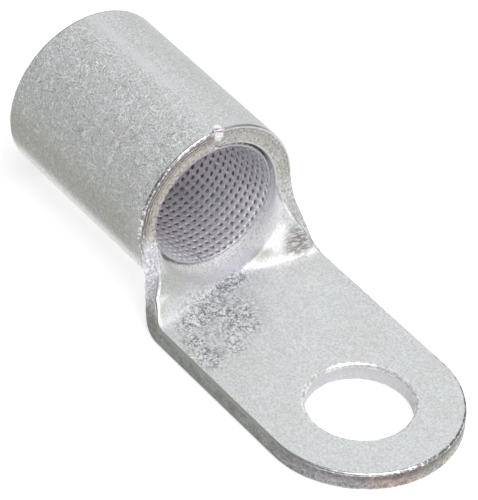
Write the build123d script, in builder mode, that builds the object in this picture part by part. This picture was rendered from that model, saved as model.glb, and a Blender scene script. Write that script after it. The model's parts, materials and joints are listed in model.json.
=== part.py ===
import os
from math import cos, pi, radians, sin

from build123d import *

# Copper terminal lug, millimetres. The origin is the centre of the stud hole on the tongue's
# underside, +X runs to the rounded tip along the barrel's axis and +Z is up.

# Strip that the lug is pressed from
sheet = 2.0

# Tongue, its length taken from the stud hole's centre to the neck
tongue_width = 20.0
tongue_length = 18.65
stud_hole_diameter = 10.3

# Barrel, lying level with the tongue's underside
barrel_diameter = 18.1
barrel_length = 22.1
mouth_lean = 0.5

# Neck, where the rolled sheet opens out and flattens
neck_length = 4.75
neck_taper = 3  # how early the neck's edges draw in to the tongue's width, where 1 is evenly
neck_sections = 7
points_across = 7
slope_step = 0.01

# Brazed butt seam along the top of the barrel: a shallow groove that ends in a notch at the mouth
seam_groove_width = 0.5
seam_groove_depth = 0.1
seam_notch_width = 0.7
seam_notch_depth = 0.5

# Perforated liner inside the barrel
liner_sheet = 0.5
liner_clearance = 0.1
liner_setback = 0.1
liner_back_margin = 0.5
liner_slit = 0.3
liner_slit_angle = -98
# The real sheet's holes are finer and closer, with the same share of open area
hole_pitch = 2.0
hole_size = 0.9

# How far cuts run past what they cut
overcut = 0.5

# Worked out from the sizes above
barrel_radius = barrel_diameter / 2
bore_radius = barrel_radius - sheet
axis_height = barrel_radius
middle_radius = barrel_radius - sheet / 2
tip_radius = tongue_width / 2
neck_front = -tongue_length
neck_back = neck_front - neck_length
mouth_top = neck_back - mouth_lean
barrel_back = neck_back - barrel_length
neck_reach = middle_radius * pi / 2
liner_front = mouth_top - liner_setback
liner_back = barrel_back + liner_back_margin
liner_length = liner_front - liner_back
liner_radius = bore_radius - liner_clearance
liner_bore = liner_radius - liner_sheet
liner_cut_start = liner_bore - overcut
liner_cut_depth = liner_sheet + 2 * overcut


# Point of the sheet's middle line, at a distance along it from the bottom. The share runs from 0,
# rolled to the barrel's circle, to 1, flat like the tongue.
def middle_point(distance, share):
    turn = distance / middle_radius
    flat = share * share * (3 - 2 * share)
    across = middle_radius * sin(turn) * (1 - flat) + distance * flat
    height = (axis_height - middle_radius * cos(turn)) * (1 - flat) + sheet / 2 * flat
    return Vector(across, height)


# Points of the upper or lower face of the sheet at one section of the neck
def face_points(share, side):
    half = tip_radius + (neck_reach - tip_radius) * (1 - share) ** neck_taper
    points = []
    for step in range(points_across):
        distance = half * (2 * step / (points_across - 1) - 1)
        run = middle_point(distance + slope_step, share) - middle_point(distance - slope_step, share)
        normal = Vector(-run.Y, run.X).normalized()
        points.append(middle_point(distance, share) + normal * (side * sheet / 2))
    return points


# Tongue, neck and rolled barrel, one pressed strip
with BuildPart() as lug_body:
    with BuildSketch(Plane.YZ.offset(barrel_back)):
        with Locations((0, axis_height)):
            Circle(barrel_radius)
            Circle(bore_radius, mode=Mode.SUBTRACT)
    extrude(amount=barrel_length)

    # The mouth leans back towards the seam
    with BuildSketch(Plane.XZ):
        with BuildLine():
            Polyline(
                (neck_back, axis_height),
                (mouth_top, barrel_diameter),
                (mouth_top, barrel_diameter + sheet),
                (neck_back + sheet, barrel_diameter + sheet),
                (neck_back + sheet, axis_height),
                close=True,
            )
        make_face()
    extrude(amount=barrel_diameter, both=True, mode=Mode.SUBTRACT)

    # Brazed seam
    with BuildSketch(Plane.YZ.offset(barrel_back)):
        with Locations((0, barrel_diameter - seam_groove_depth)):
            Rectangle(seam_groove_width, sheet, align=(Align.CENTER, Align.MIN))
    extrude(amount=barrel_length, mode=Mode.SUBTRACT)
    with BuildSketch(Plane.XY.offset(axis_height)):
        with BuildLine():
            Polyline(
                (mouth_top - seam_notch_depth, 0),
                (mouth_top, -seam_notch_width / 2),
                (neck_back + sheet, -seam_notch_width / 2),
                (neck_back + sheet, seam_notch_width / 2),
                (mouth_top, seam_notch_width / 2),
                close=True,
            )
        make_face()
    extrude(amount=barrel_radius + sheet, mode=Mode.SUBTRACT)

    # Neck, lofted from the barrel's section to the flat one
    for index in range(neck_sections):
        share = index / (neck_sections - 1)
        place = neck_back + share * neck_length
        upper = face_points(share, 1)
        lower = face_points(share, -1)
        with BuildSketch(Plane.YZ.offset(place)):
            with BuildLine():
                if index == 0:
                    ThreePointArc(upper[0], upper[points_across // 2], upper[-1])
                    Line(upper[-1], lower[-1])
                    ThreePointArc(lower[-1], lower[points_across // 2], lower[0])
                else:
                    Spline(*upper)
                    Line(upper[-1], lower[-1])
                    Spline(*reversed(lower))
                Line(lower[0], upper[0])
            make_face()
    loft()

    # Tongue with its rounded tip and the stud hole
    with BuildSketch(Plane.XY):
        with Locations((neck_front / 2, 0)):
            Rectangle(tongue_length, tongue_width)
        Circle(tip_radius)
        Circle(stud_hole_diameter / 2, mode=Mode.SUBTRACT)
    extrude(amount=sheet)

lug_body.part.label = "lug_body"

# Sleeve of thin perforated sheet, rolled to an open slit
with BuildPart() as perforated_liner:
    with BuildSketch(Plane.YZ.offset(liner_back)):
        with Locations((0, axis_height)):
            Circle(liner_radius)
            Circle(liner_bore, mode=Mode.SUBTRACT)
    extrude(amount=liner_length)

    slit_direction = Vector(0, cos(radians(liner_slit_angle)), sin(radians(liner_slit_angle)))
    middle_x = (liner_front + liner_back) / 2
    start = Vector(middle_x, 0, axis_height) + slit_direction * liner_cut_start
    with BuildSketch(Plane(origin=start, x_dir=(1, 0, 0), z_dir=slit_direction)):
        Rectangle(liner_length + 2 * overcut, liner_slit)
    extrude(amount=liner_cut_depth, mode=Mode.SUBTRACT)

    # Rows of small holes all round, with a whole number of columns between the slit's two sides
    columns = round(2 * pi * liner_radius / hole_pitch)
    rows = int(liner_length / hole_pitch)
    for column in range(1, columns):
        angle = radians(liner_slit_angle + 360 * column / columns)
        direction = Vector(0, cos(angle), sin(angle))
        start = Vector(middle_x, 0, axis_height) + direction * liner_cut_start
        with BuildSketch(Plane(origin=start, x_dir=(1, 0, 0), z_dir=direction)):
            with GridLocations(hole_pitch, hole_pitch, rows, 1):
                Rectangle(hole_size, hole_size)
    extrude(amount=liner_cut_depth, mode=Mode.SUBTRACT)

perforated_liner.part.label = "perforated_liner"

os.makedirs("parts", exist_ok=True)
export_step(lug_body.part, "parts/lug_body.step")
export_step(perforated_liner.part, "parts/perforated_liner.step")
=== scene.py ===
import json
import math

import bmesh
import bpy
from mathutils import Matrix, Vector


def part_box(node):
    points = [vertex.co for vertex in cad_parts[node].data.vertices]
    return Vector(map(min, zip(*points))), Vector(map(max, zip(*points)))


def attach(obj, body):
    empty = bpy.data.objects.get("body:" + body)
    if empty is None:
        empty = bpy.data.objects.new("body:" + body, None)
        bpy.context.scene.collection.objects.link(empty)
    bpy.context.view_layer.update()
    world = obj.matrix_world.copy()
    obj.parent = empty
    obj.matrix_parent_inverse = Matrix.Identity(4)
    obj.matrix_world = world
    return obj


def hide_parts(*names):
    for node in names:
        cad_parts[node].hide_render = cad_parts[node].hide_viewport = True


mm = 0.001

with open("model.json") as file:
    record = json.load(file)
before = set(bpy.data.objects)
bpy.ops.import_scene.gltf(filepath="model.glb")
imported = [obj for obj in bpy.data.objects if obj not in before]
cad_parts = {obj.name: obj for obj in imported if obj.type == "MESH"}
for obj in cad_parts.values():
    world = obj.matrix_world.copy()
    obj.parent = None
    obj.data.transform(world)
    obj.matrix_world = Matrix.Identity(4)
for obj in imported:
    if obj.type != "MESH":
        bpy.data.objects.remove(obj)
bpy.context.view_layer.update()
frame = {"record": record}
mounts = {mount["name"]: mount for mount in frame["record"]["mounts"]}

# sizes read from the frame
bodyLow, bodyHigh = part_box("lug_body")
linerLow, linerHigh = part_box("perforated_liner")
sheet = mounts["stud_hole"]["dims"]["length_mm"] * mm
studRadius = mounts["stud_hole"]["dims"]["r_mm"] * mm
axisHeight = mounts["wire_barrel"]["pos_m"][2]
tipRadius = bodyHigh.x
barrelBack = bodyLow.x
middleRadius = axisHeight - sheet / 2
quarterTurn = middleRadius * math.pi / 2


# helpers

def smoothStep(value):
    value = min(max(value, 0), 1)
    return value * value * (3 - 2 * value)


def finishMesh(bm, name, materials, body="root"):
    mesh = bpy.data.meshes.new(name)
    bm.to_mesh(mesh)
    bm.free()
    piece = bpy.data.objects.new(name, mesh)
    bpy.context.scene.collection.objects.link(piece)
    for material in materials:
        mesh.materials.append(material)
    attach(piece, body)
    return piece


def addNode(tree, kind, values=None, **settings):
    node = tree.nodes.new(kind)
    for name, value in settings.items():
        setattr(node, name, value)
    for name, value in (values or {}).items():
        node.inputs[name].default_value = value
    return node


def newMaterial(name, values):
    material = bpy.data.materials.new(name)
    material.use_nodes = True
    tree = material.node_tree
    shader = tree.nodes["Principled BSDF"]
    for socket, value in values.items():
        shader.inputs[socket].default_value = value
    coordinates = addNode(tree, "ShaderNodeTexCoord").outputs["Object"]
    return material, tree, shader, coordinates


def mathNode(tree, operation, first, second=None, clamp=False):
    node = addNode(tree, "ShaderNodeMath", operation=operation, use_clamp=clamp)
    for socket, value in zip(node.inputs, (first, second)):
        if isinstance(value, (int, float)):
            socket.default_value = value
        elif value is not None:
            tree.links.new(value, socket)
    return node.outputs[0]


def product(tree, first, *others):
    for other in others:
        first = mathNode(tree, "MULTIPLY", first, other)
    return first


def largest(tree, first, *others):
    for other in others:
        first = mathNode(tree, "MAXIMUM", first, other)
    return first


def distanceNode(tree, across, up):
    squares = [mathNode(tree, "MULTIPLY", value, value) for value in (across, up)]
    return mathNode(tree, "SQRT", mathNode(tree, "ADD", *squares))


def noiseNode(tree, coordinates, size, detail=2, roughness=0.5, stretch=None):
    # noise whose features are about as large as size
    vector = coordinates
    if stretch:
        mapping = addNode(tree, "ShaderNodeMapping")
        mapping.inputs["Scale"].default_value = stretch
        tree.links.new(vector, mapping.inputs["Vector"])
        vector = mapping.outputs["Vector"]
    node = addNode(tree, "ShaderNodeTexNoise", {"Scale": 1 / size, "Detail": detail, "Roughness": roughness})
    tree.links.new(vector, node.inputs["Vector"])
    return node.outputs["Fac"]


def rangeNode(tree, value, low, high, toLow=0, toHigh=1):
    limits = {"From Min": low, "From Max": high, "To Min": toLow, "To Max": toHigh}
    node = addNode(tree, "ShaderNodeMapRange", limits)
    tree.links.new(value, node.inputs["Value"])
    return node.outputs["Result"]


def fade(tree, mask, outside, inside):
    return rangeNode(tree, mask, 0, 1, outside, inside)


def mixColour(tree, factor, first, second, blend="MIX"):
    node = addNode(tree, "ShaderNodeMix", data_type="RGBA", blend_type=blend)
    for name, value in (("Factor", factor), ("A", first), ("B", second)):
        socket = node.inputs[name]
        if isinstance(value, (int, float, tuple)):
            socket.default_value = value
        else:
            tree.links.new(value, socket)
    return node.outputs["Result"]


def addBump(tree, shader, height, strength, distance):
    bump = addNode(tree, "ShaderNodeBump", {"Strength": strength, "Distance": distance})
    tree.links.new(height, bump.inputs["Height"])
    tree.links.new(bump.outputs["Normal"], shader.inputs["Normal"])


# materials

def findAxes(tree, place):
    # the object's axes, the distance from the barrel's axis and the one from the stud hole's axis
    parts = addNode(tree, "ShaderNodeSeparateXYZ")
    tree.links.new(place, parts.inputs["Vector"])
    x, y, z = [parts.outputs[axis] for axis in "XYZ"]
    radius = distanceNode(tree, y, mathNode(tree, "SUBTRACT", z, axisHeight))
    return {"x": x, "y": y, "z": z, "radius": radius, "hole": distanceNode(tree, x, y)}


def zoneMask(tree, axes, zone):
    # a zone is a list of ranges in mm, each 0 at its first end and 1 at its second
    return product(tree, *[rangeNode(tree, axes[axis], start * mm, end * mm) for axis, start, end in zone])


def spotMask(tree, place, spot, edge):
    # 1, or the spot's own strength, inside a soft ellipsoid and 0 outside
    centre, size, turn, strength = (*spot, 1)[:4]
    mapping = addNode(tree, "ShaderNodeMapping", vector_type="TEXTURE")
    mapping.inputs["Location"].default_value = centre
    mapping.inputs["Rotation"].default_value = (0, 0, turn)
    mapping.inputs["Scale"].default_value = size
    tree.links.new(place, mapping.inputs["Vector"])
    length = addNode(tree, "ShaderNodeVectorMath", operation="LENGTH")
    tree.links.new(mapping.outputs["Vector"], length.inputs[0])
    return rangeNode(tree, length.outputs["Value"], edge, 1, strength, 0)


def allSpots(tree, place, spots, edge):
    return largest(tree, *[spotMask(tree, place, spot, edge) for spot in spots])


def scratches(tree, place, size, width, shift, cover):
    # short curved marks: parts of a noise's contour line, pale, with a dark one beside each
    mapping = addNode(tree, "ShaderNodeMapping")
    mapping.inputs["Location"].default_value = (shift, 2 * shift, -shift)
    tree.links.new(place, mapping.inputs["Vector"])
    shifted = mapping.outputs["Vector"]
    level = noiseNode(tree, shifted, size, 1, 0.5)
    part = rangeNode(tree, noiseNode(tree, shifted, size * 0.45, 1, 0.5), cover, cover + 0.05)
    lines = []
    for offset in (0.5, 0.5 + 1.5 * width):
        line = mathNode(tree, "ABSOLUTE", mathNode(tree, "SUBTRACT", level, offset))
        lines.append(product(tree, rangeNode(tree, line, 0.3 * width, width, 1, 0), part))
    return lines


def allScratches(tree, place, kinds):
    layers = [scratches(tree, place, *kind) for kind in kinds]
    return [largest(tree, *marks) for marks in zip(*layers)]


# the stud hole's wall and rim, in mm as all zones are
holeZone = (("hole", studRadius / mm + 2, studRadius / mm + 1),)

tinLook = {
    "cool": (0.665, 0.685, 0.70, 1),
    "warm": (0.645, 0.655, 0.65, 1),
    "inner": (0.75, 0.745, 0.80, 1),
    "innerLeft": (0.56, 0.57, 0.55, 1),
    "innerRight": (0.98, 0.97, 1.0, 1),
    "paintedShade": (0.445, 0.455, 0.40, 1),
    "underside": (1.0, 1.0, 0.98, 1),
    "scratch": (0.98, 0.98, 0.98, 1),
    "scratchShade": (0.30, 0.31, 0.31, 1),
    "burnishAndHighlight": (0.97, 0.97, 0.98, 1),
    "speck": (0.13, 0.135, 0.14, 1),
    "scale": (0.20, 0.155, 0.145, 1),
    "metallic": (0.35, 0.6),                    # elsewhere and on the underside
    "roughness": (0.42, 0.54),
    "bump": (0.6, 0.035 * mm),
    # size, detail and roughness of each noise
    "patch": (3.5 * mm, 4, 0.6),
    "grain": (0.19 * mm, 2, 0.65),
    "ragged": (0.4 * mm, 3, 0.75, (1, 0.5, 2)),
    "dots": (0.3 * mm, 2, 0.75),
    "uneven": (1.2 * mm, 2, 0.5),
    # size, width, shift and cover of each kind of curved mark
    "marks": ((1.3 * mm, 0.035, 0.003, 0.53), (0.9 * mm, 0.045, 0.011, 0.53), (0.6 * mm, 0.055, 0.023, 0.53)),
    "pressMarks": ((0.8 * mm, 0.05, 0.031, 0.44), (0.55 * mm, 0.06, 0.017, 0.45)),
    # zones in mm
    "onTongue": (("x", -19, -17),),
    "onBarrel": (("x", -20, -24),),
    "inBore": (("radius", 7.9, 7.4), ("x", -19.8, -21.5)),
    "boreMiddle": (("y", -6, 1),),
    "boreRight": (("y", 3.6, 5.8),),
    "linerGapShadow": (("radius", 7.4, 7.2), ("x", -23.85, -23.95), ("x", -25.6, -25),
                 ("y", 1, 3), ("z", 10.2, 13)),
    "leftSide": (("y", -6, -9), ("x", -22, -26), ("z", 14.5, 9.5), ("z", 5.5, 7.5)),
    "rightSide": (("y", 2, 6), ("x", -23, -26)),
    "below": (("z", 7, 5.2), ("x", -22, -24)),
    "towardsLeft": (("y", 1, -3),),
    "towardsTop": (("z", 10, 14),),
    # soft ellipsoids: centre, half sizes, turn and strength, which is 1 where left out
    "seam": ((-38 * mm, 0.3 * mm, 18.1 * mm), (13 * mm, 0.75 * mm, 2 * mm), 0),
    "bead": ((-24.4 * mm, 0.35 * mm, 18.0 * mm), (0.55 * mm, 0.5 * mm, 0.6 * mm), 0),
    "pressed": (((-20.1 * mm, -0.7 * mm, 2.1 * mm), (1.3 * mm, 4.6 * mm, 2 * mm), 0.24),
                ((-16.0 * mm, -2.6 * mm, 2 * mm), (3.6 * mm, 2.9 * mm, 2 * mm), 0),
                ((-17.7 * mm, -6.3 * mm, 2 * mm), (1.4 * mm, 3.4 * mm, 2 * mm), 0.26),
                ((-15.0 * mm, -8.2 * mm, 2 * mm), (2.1 * mm, 1.5 * mm, 2 * mm), 0),
                ((-16.9 * mm, -3.8 * mm, 2 * mm), (5.0 * mm, 5.0 * mm, 2 * mm), 0, 0.8),
                ((-13.0 * mm, -8.3 * mm, 2 * mm), (2.8 * mm, 1.8 * mm, 2 * mm), 0, 0.9),
                ((-13.2 * mm, -5.6 * mm, 2 * mm), (2.4 * mm, 2.8 * mm, 2 * mm), 0, 0.7)),
    "nick": (((-13.4 * mm, -9.5 * mm, 2 * mm), (0.6 * mm, 0.15 * mm, 0.5 * mm), 0.78),
             ((-13.1 * mm, -9.0 * mm, 2 * mm), (0.5 * mm, 0.13 * mm, 0.5 * mm), 1.9)),
    "polishedHighlight": (((-21.3 * mm, 6.0 * mm, 4.3 * mm), (1.4 * mm, 1.5 * mm, 2.2 * mm), 0),),
    "highlightPatches": (((-20.1 * mm, 5.8 * mm, 2.1 * mm), (1.1 * mm, 4.2 * mm, 1.0 * mm), -0.33),
               ((-19.0 * mm, -7.0 * mm, 2.1 * mm), (2.3 * mm, 3.4 * mm, 1.6 * mm), 0.2, 0.55)),
    "shadePatches": (((-20.9 * mm, -7.2 * mm, 4.6 * mm), (1.4 * mm, 2.6 * mm, 2.4 * mm), 0, 1.2),
               ((-20.1 * mm, -9.0 * mm, 3.2 * mm), (1.3 * mm, 1.3 * mm, 1.8 * mm), 0, 1.2),
               ((-21.1 * mm, 4.0 * mm, 2.8 * mm), (0.9 * mm, 1.5 * mm, 1.1 * mm), 0, 1.5)),
    "scaled": (((-20.4 * mm, 8.1 * mm, 3.4 * mm), (1.4 * mm, 2.2 * mm, 2.7 * mm), 0),),
}


def makeTin():
    look = tinLook
    material, tree, shader, place = newMaterial("tumbledTin", {})
    axes = findAxes(tree, place)

    def zone(name):
        return zoneMask(tree, axes, look[name])

    def blend(mask, name, share=1):
        return mixColour(tree, product(tree, mask, share), colour, look[name])

    patches = noiseNode(tree, place, *look["patch"])
    grain = noiseNode(tree, place, *look["grain"])
    colour = mixColour(tree, rangeNode(tree, patches, 0.35, 0.65), look["warm"], look["cool"])
    colour = blend(zone("onTongue"), "burnishAndHighlight", 0.1)

    # the bore's face was drawn smooth; its colour is painted light, paler than the tin and palest towards the
    # right, with painted shade on the left, and a painted shadow darkens it behind the liner's edge
    inBore = zone("inBore")
    boreColour = mixColour(tree, zone("boreMiddle"), look["innerLeft"], look["inner"])
    boreColour = mixColour(tree, zone("boreRight"), boreColour, look["innerRight"])
    colour = mixColour(tree, inBore, colour, boreColour)
    colour = blend(zone("linerGapShadow"), "speck", 0.9)

    # painted shade darkens the barrel on its sides, and a painted reflection of the floor lightens it below
    below = zone("below")
    colour = blend(zone("leftSide"), "paintedShade")
    colour = blend(below, "underside")
    colour = blend(zone("rightSide"), "paintedShade", 0.25)

    # painted highlight on the far facet, which is also smoother, and along the creases, painted shade on some
    # patches, and some scale
    polishedHighlight = allSpots(tree, place, look["polishedHighlight"], edge=0.5)
    colour = blend(polishedHighlight, "burnishAndHighlight")
    colour = blend(allSpots(tree, place, look["shadePatches"], edge=0.4), "paintedShade", 0.6)
    colour = blend(allSpots(tree, place, look["highlightPatches"], edge=0.3), "burnishAndHighlight", 0.5)
    ragged = rangeNode(tree, noiseNode(tree, place, *look["ragged"]), 0.38, 0.54)
    colour = blend(product(tree, allSpots(tree, place, look["scaled"], edge=0.45), ragged), "scale", 0.85)

    # grain, strongest on the barrel and its underside, weakest in the bore
    onBarrel = zone("onBarrel")
    depth = product(tree, fade(tree, onBarrel, 0.24, 0.34), fade(tree, inBore, 1, 0.5))
    depth = mathNode(tree, "ADD", depth, product(tree, below, 0.3))
    shade = product(tree, rangeNode(tree, grain, 0.25, 0.75, -1, 1), depth)
    colour = mixColour(tree, 1.0, colour, mathNode(tree, "ADD", shade, 1), "MULTIPLY")

    # tumbling marks, each with a painted highlight and a painted shade line beside it, strongest on the
    # barrel's upper left
    strength = product(tree, fade(tree, onBarrel, 0.05, 1), fade(tree, zone("towardsLeft"), 0.35, 1),
                       fade(tree, zone("towardsTop"), 0.4, 1))
    pale, dark = [product(tree, marks, strength) for marks in allScratches(tree, place, look["marks"])]
    colour = blend(pale, "scratch", 0.8)
    colour = blend(dark, "scratchShade", 0.5)

    # the brazed seam shows as a narrow pale band along the top, with a bead at the mouth
    band = product(tree, spotMask(tree, place, look["seam"], 0.4), rangeNode(tree, patches, 0.25, 0.5))
    colour = blend(band, "inner", 0.6)
    colour = blend(spotMask(tree, place, look["bead"], 0.6), "scratch")

    # dark specks and curls that the punch pressed into the tongue, with pale dots between, and a nick
    dots = noiseNode(tree, place, *look["dots"])
    curls = allScratches(tree, place, look["pressMarks"])[1]
    uneven = rangeNode(tree, noiseNode(tree, place, *look["uneven"]), 0.36, 0.52, 0.55, 1)
    pressed = product(tree, allSpots(tree, place, look["pressed"], edge=0.5), uneven)
    specks = product(tree, largest(tree, rangeNode(tree, dots, 0.52, 0.60), curls), pressed)
    colour = blend(product(tree, rangeNode(tree, dots, 0.47, 0.38), pressed), "burnishAndHighlight", 0.9)
    colour = blend(specks, "speck", 0.8)
    colour = blend(allSpots(tree, place, look["nick"], edge=0.3), "scratch")

    tree.links.new(colour, shader.inputs["Base Color"])
    tree.links.new(fade(tree, below, *look["metallic"]), shader.inputs["Metallic"])
    rough = rangeNode(tree, grain, 0.3, 0.7, *look["roughness"])
    rough = mathNode(tree, "SUBTRACT", rough, product(tree, polishedHighlight, 0.1))
    tree.links.new(rough, shader.inputs["Roughness"])
    relief = mathNode(tree, "ADD", mathNode(tree, "SUBTRACT", pale, dark), grain)
    addBump(tree, shader, mathNode(tree, "SUBTRACT", relief, specks), *look["bump"])
    return material


edgeLook = {
    "bare": (0.48, 0.36, 0.33, 1),
    "lavender": (0.42, 0.41, 0.445, 1),
    "beige": (0.50, 0.475, 0.435, 1),
    "tinned": (0.27, 0.28, 0.255, 1),
    "mouth": (0.46, 0.455, 0.42, 1),
    "pink": (0.51, 0.475, 0.43, 1),
    "pale": (0.92, 0.91, 0.93, 1),
    "dark": (0.13, 0.11, 0.11, 1),
    "coppery": (0.62, 0.40, 0.33, 1),
    "grey": (0.54, 0.535, 0.54, 1),
    "bright": (0.66, 0.65, 0.68, 1),
    "metallic": (0.4, 0.85),                    # elsewhere and in the stud hole
    "roughness": 0.45,
    "bump": (0.7, 0.05 * mm),
    # size, detail and roughness of each noise
    "blotch": (1.4 * mm, 4, 0.65),
    "streak": (0.25 * mm, 3, 0.6),
    "broad": (0.8 * mm, 3, 0.6),
    # lines torn along the mouth: distance from the barrel's axis, and the streak that opens each
    "torn": ((8.66 * mm, 0.33), (8.36 * mm, 0.38), (8.05 * mm, 0.48)),
    "tornWidth": (0.17 * mm, 0.05 * mm),
    "wander": 0.5 * mm,
    # height where the tip's torn top starts and is whole, and how far it wanders
    "tornFrom": (0.9 * mm, 1.4 * mm),
    "raggedTop": 1.4 * mm,
    # zones in mm
    "atTip": (("x", -2, 4),),
    "tipBare": (("y", -6.5, -4.5),),
    "tipBeige": (("y", -2.5, 0.5),),
    "tipTorn": (("y", -6, -3.5),),
    "onNeck": (("z", 2.3, 3.6),),
    "farNeck": (("y", 6, 8),),
    "atMouth": (("z", 8.2, 9.6),),
    "mouthLeft": (("y", 0, -2),),
    "mouthRight": (("y", -0.5, 1.5),),
    "mouthRim": (("radius", 8, 8.5),),
    "towardsTip": (("x", -12, 0),),
    "holeFront": (("x", 0, 4.5),),
    # soft ellipsoids: centre, half sizes and turn
    "copper": ((-23.9 * mm, 1.2 * mm, 17.9 * mm), (0.5 * mm, 0.45 * mm, 0.4 * mm), 0),
    "bead": ((-23.9 * mm, 0.2 * mm, 17.6 * mm), (0.7 * mm, 0.6 * mm, 0.9 * mm), 0),
}


def makeSheared():
    look = edgeLook
    material, tree, shader, place = newMaterial("shearedEdge", {"Roughness": look["roughness"]})
    axes = findAxes(tree, place)
    blotch = noiseNode(tree, place, *look["blotch"])
    streak = noiseNode(tree, place, *look["streak"])

    def zone(name):
        return zoneMask(tree, axes, look[name])

    def offCentre(value, size):
        return product(tree, mathNode(tree, "SUBTRACT", value, 0.5), size)

    # tongue's edge, with copper round the tip, where the top of the cut is torn dark
    tip = mixColour(tree, zone("tipBare"), look["lavender"], look["bare"])
    tip = mixColour(tree, zone("tipBeige"), tip, look["beige"])
    tip = mixColour(tree, rangeNode(tree, blotch, 0.62, 0.45, 0, 0.35), tip, look["tinned"])
    height = mathNode(tree, "ADD", axes["z"], offCentre(streak, look["raggedTop"]))
    tornTop = product(tree, rangeNode(tree, height, *look["tornFrom"]),
                      fade(tree, zone("tipTorn"), 0.45, 0.75))
    tip = mixColour(tree, tornTop, tip, look["dark"])
    colour = mixColour(tree, zone("atTip"), look["tinned"], tip)

    # neck's edges and the stud hole, where the cut is clean
    inHole = zoneMask(tree, axes, holeZone)
    onNeck = zone("onNeck")
    clean = largest(tree, onNeck, inHole)
    cleanColour = mixColour(tree, zone("farNeck"), look["bright"], look["grey"])
    colour = mixColour(tree, clean, colour, cleanColour)

    # mouth: bare on the left, tinned on the right, with lines torn along it and the seam at the top
    mouth = mixColour(tree, zone("mouthLeft"), look["mouth"], look["pink"])
    mouthRight = zone("mouthRight")
    wandering = mathNode(tree, "ADD", axes["radius"], offCentre(blotch, look["wander"]))
    lines = []
    for tornRadius, gate in look["torn"]:
        away = mathNode(tree, "ABSOLUTE", mathNode(tree, "SUBTRACT", wandering, tornRadius))
        lines.append(product(tree, rangeNode(tree, away, *look["tornWidth"]),
                             rangeNode(tree, streak, gate, gate + 0.1)))
    torn = product(tree, largest(tree, *lines), fade(tree, mouthRight, 0.9, 0.3))
    flecks = product(tree, rangeNode(tree, streak, 0.54, 0.64), zone("mouthRim"),
                     fade(tree, mouthRight, 0.8, 0.1))
    mouth = mixColour(tree, flecks, mouth, look["pale"])
    mouth = mixColour(tree, torn, mouth, look["dark"])
    mouth = mixColour(tree, spotMask(tree, place, look["bead"], 0.5), mouth, look["pale"])
    mouth = mixColour(tree, spotMask(tree, place, look["copper"], 0.5), mouth, look["coppery"])
    colour = mixColour(tree, zone("atMouth"), colour, mouth)

    # coarser where the sheet tore, smooth in the hole
    depth = largest(tree, fade(tree, zone("towardsTip"), 0.45, 0.65), fade(tree, onNeck, 0.35, 0.6))
    depth = product(tree, depth, fade(tree, inHole, 1, 0.25))
    fine = mathNode(tree, "ADD", product(tree, rangeNode(tree, streak, 0.25, 0.75, -1, 1), depth), 1)
    # painted shade in the stud hole, deepest towards its front
    wearAndShade = product(tree, inHole, fade(tree, zone("holeFront"), 0.12, 0.4))
    broad = rangeNode(tree, noiseNode(tree, place, *look["broad"]), 0.35, 0.65, -0.22, 0.22)
    broad = mathNode(tree, "ADD", product(tree, broad, fade(tree, clean, 1, 0)), 1)
    shade = product(tree, fine, mathNode(tree, "SUBTRACT", 1, wearAndShade), broad)
    tree.links.new(mixColour(tree, 1.0, colour, shade, "MULTIPLY"), shader.inputs["Base Color"])
    tree.links.new(fade(tree, inHole, *look["metallic"]), shader.inputs["Metallic"])
    addBump(tree, shader, mathNode(tree, "SUBTRACT", streak, torn), *look["bump"])
    return material


rimLook = {
    "bright": (0.93, 0.93, 0.94, 1),
    "dull": (0.60, 0.60, 0.59, 1),
    "torn": (0.21, 0.18, 0.185, 1),
    "side": (0.38, 0.385, 0.36, 1),
    "metallic": (0.85, 0.35),                   # elsewhere, and on the left side and the stud hole
    "roughness": 0.32,
    "bump": (0.5, 0.03 * mm),
    # size, detail and roughness of each noise
    "wearAndShade": (0.7 * mm, 3, 0.7),
    "dashes": (0.3 * mm, 2, 0.6),
    "grain": (0.15 * mm, 2, 0.6),
    # zones in mm
    "leftSide": (("y", -8.5, -9.5), ("z", 3, 2.2)),
    "atMouth": (("z", 6.5, 9),),
    "rightHalf": (("y", 0.4, 1.2),),
    "atTip": (("x", -2, 1),),
    "tipTorn": (("y", -5, -3.5),),
}


def makeRim():
    # rounded edges, rubbed bright by the tumbling
    look = rimLook
    material, tree, shader, place = newMaterial("rubbedRim", {"Roughness": look["roughness"]})
    axes = findAxes(tree, place)
    wearAndShade, dashes, grain = [noiseNode(tree, place, *look[name]) for name in ("wearAndShade", "dashes", "grain")]

    def zone(name):
        return zoneMask(tree, axes, look[name])

    # dull on the tongue's left side and the mouth's right, and here and there round the stud hole
    onSide = zone("leftSide")
    atMouth = zone("atMouth")
    mouthRight = product(tree, atMouth, zone("rightHalf"))
    inHole = zoneMask(tree, axes, holeZone)
    bright = rangeNode(tree, wearAndShade, 0.38, 0.55)
    bright = mathNode(tree, "SUBTRACT", bright, largest(tree, onSide, mouthRight), clamp=True)
    gaps = product(tree, inHole, rangeNode(tree, dashes, 0.5, 0.4, 0, 0.8))
    bright = mathNode(tree, "SUBTRACT", bright, gaps, clamp=True)
    colour = mixColour(tree, bright, look["dull"], look["bright"])
    colour = mixColour(tree, onSide, colour, look["side"])

    # torn in dashes on the mouth's left and the tip
    atTip = product(tree, zone("atTip"), fade(tree, zone("tipTorn"), 0.55, 1), fade(tree, inHole, 1, 0))
    torn = largest(tree, mathNode(tree, "SUBTRACT", atMouth, mouthRight), atTip)
    torn = product(tree, torn, rangeNode(tree, dashes, 0.40, 0.53, 0, 0.85))
    tree.links.new(mixColour(tree, torn, colour, look["torn"]), shader.inputs["Base Color"])
    tree.links.new(fade(tree, largest(tree, onSide, inHole), *look["metallic"]), shader.inputs["Metallic"])
    addBump(tree, shader, grain, *look["bump"])
    return material


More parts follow.
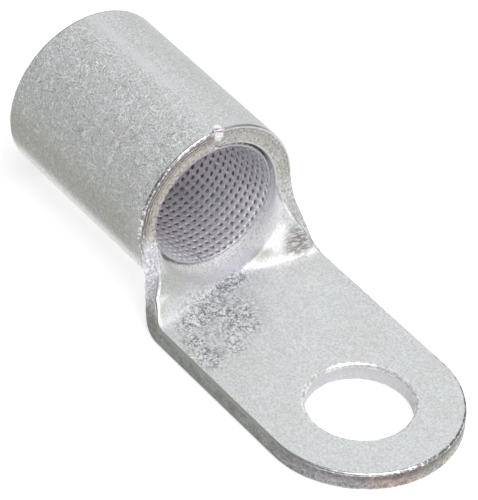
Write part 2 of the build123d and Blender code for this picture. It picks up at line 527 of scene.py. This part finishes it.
linerLook = {
    "base": (0.97, 0.955, 1.0, 1),
    "dark": (0.52, 0.51, 0.535, 1),
    "rim": (0.50, 0.49, 0.51, 1),
    "metallic": 0.35,
    "roughness": 0.42,
    "bump": (0.4, 0.02 * mm),
    # size, detail and roughness of each noise
    "patches": (1.2 * mm, 3, 0.6),
    "grain": (0.12 * mm, 2, 0.6),
    "aboveBottom": (("z", 2.5, 6),),            # zone in mm
    "frontEdge": (0.03 * mm, 0.01 * mm),        # distances from the front end
}


def makeLiner():
    look = linerLook
    values = {"Metallic": look["metallic"], "Roughness": look["roughness"]}
    material, tree, shader, place = newMaterial("perforatedSheet", values)
    axes = findAxes(tree, place)
    # painted light: the sheet is painted far paler than the lug's tin, making up for the shade inside the
    # bore; it is darker towards the bottom, with patches
    patches = rangeNode(tree, noiseNode(tree, place, *look["patches"]), 0.3, 0.7, -0.15, 0.15)
    wearAndShade = mathNode(tree, "ADD", zoneMask(tree, axes, look["aboveBottom"]), patches, clamp=True)
    colour = mixColour(tree, wearAndShade, look["dark"], look["base"])
    atFront = rangeNode(tree, axes["x"], *[linerHigh.x - distance for distance in look["frontEdge"]])
    tree.links.new(mixColour(tree, atFront, colour, look["rim"]), shader.inputs["Base Color"])
    addBump(tree, shader, noiseNode(tree, place, *look["grain"]), *look["bump"])
    return material


tin = makeTin()
sheared = makeSheared()
rim = makeRim()
linerSheet = makeLiner()
print("materials made")


# lug: one pressed strip, rolled into the barrel at the back and flat at the front

lugShape = {
    "mouthTop": -23.9 * mm,
    "neckBack": -23.4 * mm,
    "neckFront": -18.65 * mm,
    "flatStart": -17.6 * mm,
    "creaseBack": (-21.05 * mm, 0, -0.06),      # at the middle, per mm from it, per mm to the left
    "creaseFront": (-20.8 * mm, 0.23, -0.045),
    "creaseEase": (1.35, 2.0),                  # softness of the slope's start and end
    "creaseGap": 0.15 * mm,                     # least distance between the two creases
    "leftSpread": 0.3 * mm,                     # extra reach of the left edge halfway along the neck
    "edgeLean": ((0.7, -1.6), (-0.35, 1.2)),    # left and right edge, at the mouth and along the neck
    "edgeAdvance": 0.6,                         # least advance of the outer edge, per advance of the inner
    "neckTaper": 3,                             # how early the neck's edges draw in
    "columns": 24,                              # quads across a quarter of the barrel
    "barrelRows": 12,
    "neckRows": (7, 10, 3),                     # up to the back crease, the front one and the flat
    "notchDepth": 0.25 * mm,
    "edgeRound": 0.24 * mm,
    "holeRound": 0.42 * mm,
    "roundSteps": 3,
    "probe": 0.01 * mm,                         # step that finds a direction
    "weld": 0.002 * mm,
}


def columnPlace(column):
    # columns keep the head's spacing, so that the loops meet round the stud hole
    whole = abs(column)
    if whole <= 1:
        place = math.tan(whole * math.pi / 4)
    else:
        place = 2 - math.tan((2 - whole) * math.pi / 4)
    return math.copysign(place, column)


def creasePlaces(column):
    across = tipRadius * max(min(columnPlace(column), 1), -1)
    back, front = [base + slope * abs(across) + skew * across
                   for base, slope, skew in (lugShape["creaseBack"], lugShape["creaseFront"])]
    return back, max(front, back + lugShape["creaseGap"])


def neckShare(x):
    return min(max((x - lugShape["neckBack"]) / (lugShape["neckFront"] - lugShape["neckBack"]), 0), 1)


def flatness(x, column):
    # 0 where the strip follows the barrel, 1 where it is flat, with a crease at each end of the slope
    back, front = creasePlaces(column)
    rise = smoothStep(neckShare(back)) * min(abs(columnPlace(column)), 1) ** 2
    if x <= back:
        ramp = max(x - lugShape["neckBack"], 0) / (back - lugShape["neckBack"])
        return rise * ramp * ramp
    way = min((x - back) / (front - back), 1)
    start, end = lugShape["creaseEase"]
    way = 1 - (1 - way ** start) ** end
    return rise + (1 - rise) * way


def sectionPoint(x, distance, flat):
    # upper face of the sheet, at a distance across it from the middle of the section at x
    def middle(place):
        turn = place / middleRadius
        across = middleRadius * math.sin(turn) * (1 - flat) + place * flat
        height = (axisHeight - middleRadius * math.cos(turn)) * (1 - flat) + sheet / 2 * flat
        return Vector((x, across, height))

    run = middle(distance + lugShape["probe"]) - middle(distance - lugShape["probe"])
    return middle(distance) + Vector((0, -run.z, run.y)).normalized() * (sheet / 2)


def stripPoint(x, column, skin):
    # skin is 1 on the upper or inner face and -1 on the lower or outer one, which has no creases
    shape = lugShape
    share = neckShare(x)
    place = columnPlace(column)
    half = tipRadius + (quarterTurn - tipRadius) * (1 - share) ** shape["neckTaper"]
    if place > 0:
        half += shape["leftSpread"] * math.sin(math.pi * share) ** 2
    distance = half * place
    if skin > 0:
        return sectionPoint(x, distance, flatness(x, column))
    near = 2 * shape["probe"]
    flat, flatAhead, flatBehind = [smoothStep(neckShare(at)) for at in (x, x + near, x - near)]
    upper = sectionPoint(x, distance, flat)
    run = sectionPoint(x, distance + near, flat) - sectionPoint(x, distance - near, flat)
    rise = sectionPoint(x + near, distance, flatAhead) - sectionPoint(x - near, distance, flatBehind)
    leftLean, rightLean = [base + slope * share for base, slope in shape["edgeLean"]]
    lean = rightLean + (leftLean - rightLean) * (min(max(place, -1), 1) + 1) / 2
    normal = Vector((0, -run.z, run.y)).normalized() * (1 - lean) + rise.cross(run).normalized() * lean
    point = upper - normal.normalized() * sheet
    if 0 < share < 1:
        # the outer edge never runs back past the neck's ends
        least = shape["edgeAdvance"]
        low = shape["neckBack"] + least * (x - shape["neckBack"])
        high = shape["neckFront"] - least * (shape["neckFront"] - x)
        point.x = min(max(point.x, low), high)
    return point


def buildLug():
    shape = lugShape
    bm = bmesh.new()
    columnLayer = bm.verts.layers.float.new("column")
    skinLayer = bm.verts.layers.float.new("skin")
    quarter = shape["columns"]

    def place(verts, xOf):
        for vert in verts:
            column = vert[columnLayer]
            vert.co = stripPoint(xOf(column), column, vert[skinLayer])

    # back end of the barrel
    for skin in (1, -1):
        ring = bmesh.ops.create_circle(bm, segments=quarter * 4, radius=1)["verts"]
        for step, vert in enumerate(ring):
            vert[columnLayer] = step / quarter - 2
            vert[skinLayer] = skin
        place(ring, lambda column: barrelBack)
    front = bmesh.ops.bridge_loops(bm, edges=bm.edges[:])["faces"]

    def advance(faces, xOf, keep=False):
        result = bmesh.ops.extrude_face_region(bm, geom=faces)["geom"]
        if not keep:
            bmesh.ops.delete(bm, geom=faces, context="FACES")
        place([item for item in result if isinstance(item, bmesh.types.BMVert)], xOf)
        return [item for item in result if isinstance(item, bmesh.types.BMFace)]

    barrelLength = shape["neckBack"] - barrelBack
    for row in range(1, shape["barrelRows"] + 1):
        share = row / shape["barrelRows"]
        front = advance(front, lambda column: barrelBack + barrelLength * share, keep=row == 1)

    # the mouth leans back towards the seam, where the two ends leave a notch
    lean = (shape["mouthTop"] - shape["neckBack"]) / axisHeight
    for vert in {v for face in front for v in face.verts}:
        vert.co.x += lean * max(vert.co.z - axisHeight, 0)
        if abs(vert[columnLayer]) > 2 - 0.5 / quarter:
            vert.co.x -= shape["notchDepth"]

    # neck, whose rows follow the creases, and the straight part of the tongue
    front = [face for face in front if face.calc_center_median().z < axisHeight]

    def stagePlaces(column):
        return (shape["neckBack"], *creasePlaces(column), shape["flatStart"])

    for stage, rows in enumerate(shape["neckRows"]):
        for row in range(1, rows + 1):
            share = row / rows
            front = advance(front, lambda column: stagePlaces(column)[stage] * (1 - share)
                            + stagePlaces(column)[stage + 1] * share)
    front = advance(front, lambda column: -tipRadius)
    bmesh.ops.delete(bm, geom=front, context="FACES")

    # head with the stud hole
    loopVerts = []
    for radius in (studRadius, tipRadius):
        circle = bmesh.ops.create_circle(bm, segments=quarter * 8, radius=radius)["verts"]
        for vert in circle:
            if radius == tipRadius and vert.co.x < 0:
                vert.co *= tipRadius / max(abs(vert.co.x), abs(vert.co.y))
            vert.co.z = sheet
            vert[skinLayer] = 1
        loopVerts += circle
    edges = {edge for vert in loopVerts for edge in vert.link_edges}
    top = bmesh.ops.bridge_loops(bm, edges=list(edges))["faces"]
    result = bmesh.ops.extrude_face_region(bm, geom=top)["geom"]
    for vert in [item for item in result if isinstance(item, bmesh.types.BMVert)]:
        vert.co.z = 0
        vert[skinLayer] = -1
    joint = [face for face in bm.faces
             if all(abs(vert.co.x + tipRadius) < 5 * shape["weld"] for vert in face.verts)]
    bmesh.ops.delete(bm, geom=joint, context="FACES")
    bmesh.ops.remove_doubles(bm, verts=bm.verts, dist=shape["weld"])
    bmesh.ops.recalc_face_normals(bm, faces=bm.faces)

    # the cut faces get their own material, and the edges between them and the skins are rounded
    for face in bm.faces:
        skins = [vert[skinLayer] for vert in face.verts]
        face.material_index = int(max(skins) > 0 and min(skins) < 0)
    rims = [edge for edge in bm.edges if len({face.material_index for face in edge.link_faces}) == 2]
    openEdges = sum(not edge.is_manifold for edge in bm.edges)
    print("lug faces", len(bm.faces), "open edges", openEdges, "rim edges", len(rims))

    def aboveHole(vert):
        return vert.co.z > sheet / 2 and vert.co.xy.length < (studRadius + tipRadius) / 2

    atHole = [edge for edge in rims if all(aboveHole(vert) for vert in edge.verts)]
    others = [edge for edge in rims if edge not in atHole]
    for edges, offset in ((atHole, shape["holeRound"]), (others, shape["edgeRound"])):
        rounded = bmesh.ops.bevel(bm, geom=edges, offset=offset, offset_type="OFFSET",
                                  segments=shape["roundSteps"], affect="EDGES", profile=0.5, material=-1,
                                  clamp_overlap=False)["faces"]
        for face in rounded:
            face.material_index = 2
    for face in bm.faces:
        face.smooth = True
    return bm


lug = finishMesh(buildLug(), "lugStrip", [tin, sheared, rim])
weighted = lug.modifiers.new("weighted", "WEIGHTED_NORMAL")
weighted.weight = 80
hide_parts("lug_body")
print("lug made, triangles about", 2 * len(lug.data.polygons))


# liner: thin sheet with small holes, rolled to an open slit

linerShape = {
    "pitch": 0.8 * mm,
    "hole": 0.42 * mm,
    "holeSides": 8,
    "thickness": 0.22 * mm,
    "slit": 0.3 * mm,
    "slitDepth": 3.0 * mm,
    "slitAngle": -98,
    "slitLeast": 0.1,                     # share of the slit that stays open at the back
    "burr": 0.05 * mm,
    "squeeze": (0.14 * mm, 0.30 * mm),    # at the front end's upper right and lower left
    "squeezeAngle": 48,
    "squeezeDepth": 5.0 * mm,
    "overhang": 0.34,                     # of a cell, from the last row of holes to the front end
    "weld": 0.01 * mm,
}


def buildLinerSheet():
    shape = linerShape
    outer = (linerHigh.y - linerLow.y) / 2
    length = linerHigh.x - linerLow.x
    around = 2 * math.pi * outer - shape["slit"]
    columns = round(around / shape["pitch"])
    rows = round(length / shape["pitch"])
    cellWide = around / columns
    cellLong = length / (rows - 0.5 + shape["overhang"])
    bm = bmesh.new()
    holeLayer = bm.verts.layers.float.new("hole")

    # one cell, with its hole
    hole = bmesh.ops.create_circle(bm, segments=shape["holeSides"], radius=shape["hole"] / 2)["verts"]
    for vert in hole:
        vert[holeLayer] = 1
    rim = bmesh.ops.create_circle(bm, segments=shape["holeSides"], radius=1)["verts"]
    for vert in rim:
        vert.co /= max(abs(vert.co.x), abs(vert.co.y))
        vert.co = Vector((vert.co.x * cellLong / 2, vert.co.y * cellWide / 2, 0))
    bmesh.ops.bridge_loops(bm, edges=bm.edges[:])

    # rows and columns of cells
    for count, step in ((columns, Vector((0, cellWide, 0))), (rows, Vector((cellLong, 0, 0)))):
        cell = bm.verts[:] + bm.edges[:] + bm.faces[:]
        for index in range(1, count):
            copy = bmesh.ops.duplicate(bm, geom=cell)["geom"]
            verts = [item for item in copy if isinstance(item, bmesh.types.BMVert)]
            bmesh.ops.translate(bm, verts=verts, vec=step * index)
    bmesh.ops.remove_doubles(bm, verts=bm.verts, dist=shape["weld"])

    # the front end is cut off just past the last row of holes
    cut = Vector(((rows - 1 + shape["overhang"]) * cellLong, 0, 0))
    bmesh.ops.bisect_plane(bm, geom=bm.verts[:] + bm.edges[:] + bm.faces[:], dist=shape["weld"] / 2,
                           plane_co=cut, plane_no=(1, 0, 0), clear_outer=True)

    # rolled up, the slit wider and the sheet a little out of round towards the front
    turn = math.radians(shape["slitAngle"])
    squeezeTurn = math.radians(shape["squeezeAngle"])
    whole = columns * cellWide
    for vert in bm.verts:
        depth = length - cellLong / 2 - vert.co.x
        gap = shape["slit"] * max(1 - depth / shape["slitDepth"], shape["slitLeast"])
        angle = turn + (gap / 2 + (vert.co.y + cellWide / 2) / whole * (2 * math.pi * outer - gap)) / outer
        facing = math.cos(angle - squeezeTurn)
        upperRight, lowerLeft = shape["squeeze"]
        squeeze = (upperRight if facing > 0 else lowerLeft) * facing ** 4
        squeeze *= max(1 - depth / shape["squeezeDepth"], 0)
        radius = outer - vert[holeLayer] * shape["burr"] - squeeze
        vert.co = Vector((linerLow.x + cellLong / 2 + vert.co.x,
                          radius * math.cos(angle), axisHeight + radius * math.sin(angle)))
    bmesh.ops.recalc_face_normals(bm, faces=bm.faces)
    for face in bm.faces:
        face.smooth = True

    # the faces look outwards, since the wall grows inwards from them
    anyFace = next(iter(bm.faces))
    outwards = anyFace.calc_center_median() - Vector((0, 0, axisHeight))
    if anyFace.normal.yz.dot(outwards.yz) < 0:
        bmesh.ops.reverse_faces(bm, faces=bm.faces)
    print("liner cells", columns, "x", rows)
    return bm


liner = finishMesh(buildLinerSheet(), "linerSleeve", [linerSheet])
wall = liner.modifiers.new("wall", "SOLIDIFY")
wall.thickness = linerShape["thickness"]
wall.offset = -1
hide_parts("perforated_liner")
print("liner made")


# floor

floorLook = {
    "size": 3.0,
    "shade": (0.5, 0.5, 0.5, 1),
    "roughness": 0.9,
    "glow": 0.70,              # seen directly or in a reflection, so that the floor is white
    "gap": 0.02 * mm,
}


def makeFloor():
    look = floorLook
    bm = bmesh.new()
    bmesh.ops.create_grid(bm, x_segments=1, y_segments=1, size=look["size"])
    values = {"Base Color": look["shade"], "Roughness": look["roughness"]}
    material, tree, shader = newMaterial("paleFloor", values)[:3]
    glow = addNode(tree, "ShaderNodeEmission")
    path = addNode(tree, "ShaderNodeLightPath")
    rays = ("Is Camera Ray", "Is Glossy Ray", "Is Transmission Ray")
    seen = largest(tree, *[path.outputs[name] for name in rays])
    tree.links.new(product(tree, seen, look["glow"]), glow.inputs["Strength"])
    both = addNode(tree, "ShaderNodeAddShader")
    tree.links.new(shader.outputs[0], both.inputs[0])
    tree.links.new(glow.outputs[0], both.inputs[1])
    tree.links.new(both.outputs[0], tree.nodes["Material Output"].inputs["Surface"])
    mesh = bpy.data.meshes.new("floor")
    bm.to_mesh(mesh)
    bm.free()
    floor = bpy.data.objects.new("floor", mesh)
    mesh.materials.append(material)
    bpy.context.scene.collection.objects.link(floor)
    floor.location.z = bodyLow.z - look["gap"]


makeFloor()
print("floor made")


# light

lightSetup = {
    "key": {"place": (0.226, 0, 0.500), "size": 0.45, "power": 3.15, "colour": (0.985, 0.985, 1.0)},
    "low": {"place": (0.512, 0.055, 0.145), "size": 0.45, "power": 0.6, "colour": (1.0, 0.98, 1.0)},
    "back": {"place": (-0.319, 0.327, 0.335), "size": 0.45, "power": 0.47, "colour": (0.99, 1.0, 0.985)},
    "left": {"place": (-0.366, -0.317, 0.296), "size": 0.45, "power": 0.24, "colour": (1.0, 0.99, 0.94)},
    "side": {"place": (0.309, 0.302, 0.326), "size": 0.45, "power": 0.2, "colour": (1.0, 1.0, 1.0)},
}
lightTarget = Vector((-0.02, 0, 0.008))
worldLook = {"light": 0.12, "colour": (0.985, 1.0, 0.975, 1)}


def makeLights():
    for name, setup in lightSetup.items():
        data = bpy.data.lights.new(name, "AREA")
        data.shape = "SQUARE"
        data.size = setup["size"]
        data.energy = setup["power"]
        data.color = setup["colour"]
        lamp = bpy.data.objects.new(name, data)
        lamp.location = setup["place"]
        aim = lightTarget - lamp.location
        lamp.rotation_euler = aim.to_track_quat("-Z", "Y").to_euler()
        bpy.context.scene.collection.objects.link(lamp)
    world = bpy.data.worlds.new("studio")
    bpy.context.scene.world = world
    world.use_nodes = True
    background = world.node_tree.nodes["Background"]
    background.inputs["Color"].default_value = worldLook["colour"]
    background.inputs["Strength"].default_value = worldLook["light"]


makeLights()
print("lights made")


# camera

cameraSetup = {
    "place": Vector((209.478, -182.693, 254.497)) * mm,
    "target": Vector((-23.737, 3.359, 2.0)) * mm,
    "roll": 3.652,
    "lens": 289.35,
    "sensor": 36,
    "clipStart": 0.01,
}


def makeCamera():
    setup = cameraSetup
    data = bpy.data.cameras.new("camera")
    data.lens = setup["lens"]
    data.sensor_width = setup["sensor"]
    data.clip_start = setup["clipStart"]
    camera = bpy.data.objects.new("camera", data)
    aim = (setup["target"] - setup["place"]).to_track_quat("-Z", "Y").to_matrix().to_4x4()
    roll = Matrix.Rotation(math.radians(setup["roll"]), 4, "Z")
    camera.matrix_world = Matrix.Translation(setup["place"]) @ aim @ roll
    bpy.context.scene.collection.objects.link(camera)
    bpy.context.scene.camera = camera


makeCamera()
bpy.context.scene.view_settings.view_transform = "Standard"
bpy.context.view_layer.update()
